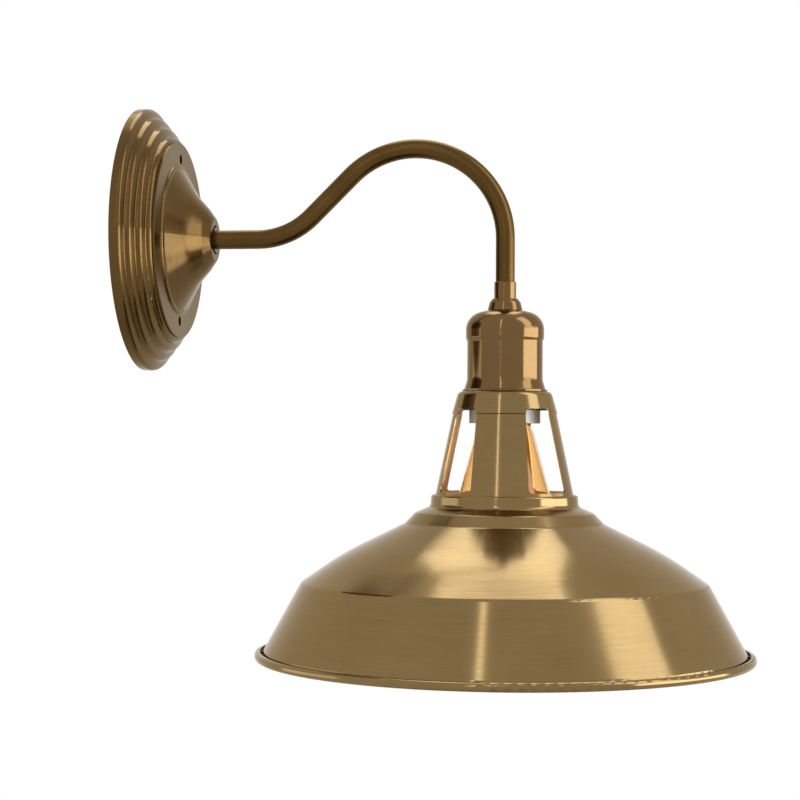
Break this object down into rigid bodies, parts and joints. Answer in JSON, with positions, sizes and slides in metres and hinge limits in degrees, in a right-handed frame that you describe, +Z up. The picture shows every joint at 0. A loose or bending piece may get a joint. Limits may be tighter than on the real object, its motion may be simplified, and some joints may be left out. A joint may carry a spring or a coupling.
{
  "type": "gooseneck wall sconce",
  "caption": "Wall light with a spun metal shade that hangs, mouth down, from a swan-neck arm on a stepped round dish, with a vented neck and a screw-in bulb.",
  "frame": {"origin": "on the wall plane, at the axis of the arm where it leaves the wall dish", "axes": "+X out from the wall along the arm, +Z up, Y across; the lamp axis is vertical, 194 mm out from the wall"},
  "size_m": [0.324, 0.26, 0.2907],
  "materials": {
    "bronze": "brushed antique bronze",
    "shade_brass": "brushed antique brass, lacquered",
    "zinc_steel": "zinc plated",
    "plain_brass": "turned",
    "spring_steel": "drawn wire",
    "ceramic": "white steatite",
    "dark_ring": "moulded, dark brown",
    "block_plastic": "moulded, natural",
    "brown_sleeve": "insulation",
    "blue_sleeve": "insulation",
    "green_sleeve": "insulation",
    "amber_glass": "amber tint",
    "clear_glass": "clear",
    "cap_brass": "rolled",
    "black_glass": "black glass",
    "solder": "solder",
    "filament": "phosphor coated"
  },
  "bodies": {
    "fixture": {"wall_dish": "bronze", "arm_flange": "bronze", "arm_bush": "bronze", "arm_lock_washer": "zinc_steel", "arm_lock_nut": "zinc_steel", "arm_tube": "bronze", "mounting_strap": "zinc_steel", "terminal_block": "block_plastic", "terminal_barrels": "plain_brass", "terminal_clamp_screws": "zinc_steel", "block_screw": "zinc_steel", "earth_screw": "plain_brass", "earth_tag": "plain_brass", "live_wire": "brown_sleeve", "neutral_wire": "blue_sleeve", "earth_wire": "green_sleeve", "collar_ferrule": "bronze", "cup_hub": "bronze", "lampholder_cup": "bronze", "cup_lock_nut": "zinc_steel", "holder_cap": "zinc_steel", "holder_sleeve": "ceramic", "terminal_insulator": "ceramic", "live_terminal": "plain_brass", "neutral_terminal": "plain_brass", "earth_terminal": "plain_brass", "terminal_screws": "zinc_steel", "screw_shell": "plain_brass", "contact_spring": "spring_steel"},
    "plunger": {"centre_contact": "plain_brass"},
    "shade": {"shade_neck": "shade_brass", "shade_dome": "shade_brass"},
    "shade_ring": {"shade_ring": "dark_ring"},
    "bulb": {"bulb_glass": "amber_glass", "bulb_cap": "cap_brass", "bulb_insulator": "black_glass", "bulb_tip": "solder", "bulb_stem": "clear_glass", "bulb_filaments": "filament", "filament_supports": "spring_steel"}
  },
  "joints": [
    {"name": "shade_turn", "type": "hinge", "parent": "fixture", "child": "shade", "pos_m": [0.194, 0, -0.081], "axis": [0, 0, 1], "continuous": true},
    {"name": "shade_ring_turn", "type": "hinge", "parent": "fixture", "child": "shade_ring", "pos_m": [0.194, 0, -0.086], "axis": [0, 0, -1], "range_deg": [0, 1080]},
    {"name": "bulb_turn", "type": "hinge", "parent": "fixture", "child": "bulb", "pos_m": [0.194, 0, -0.082], "axis": [0, 0, -1], "range_deg": [0, 1980]},
    {"name": "contact_press", "type": "slide", "parent": "fixture", "child": "plunger", "axis": [0, 0, 1], "range_m": [0, 0.0015], "stiffness_N_per_m": 1000, "springref_m": -0.001, "deforming": ["contact_spring"]}
  ]
}
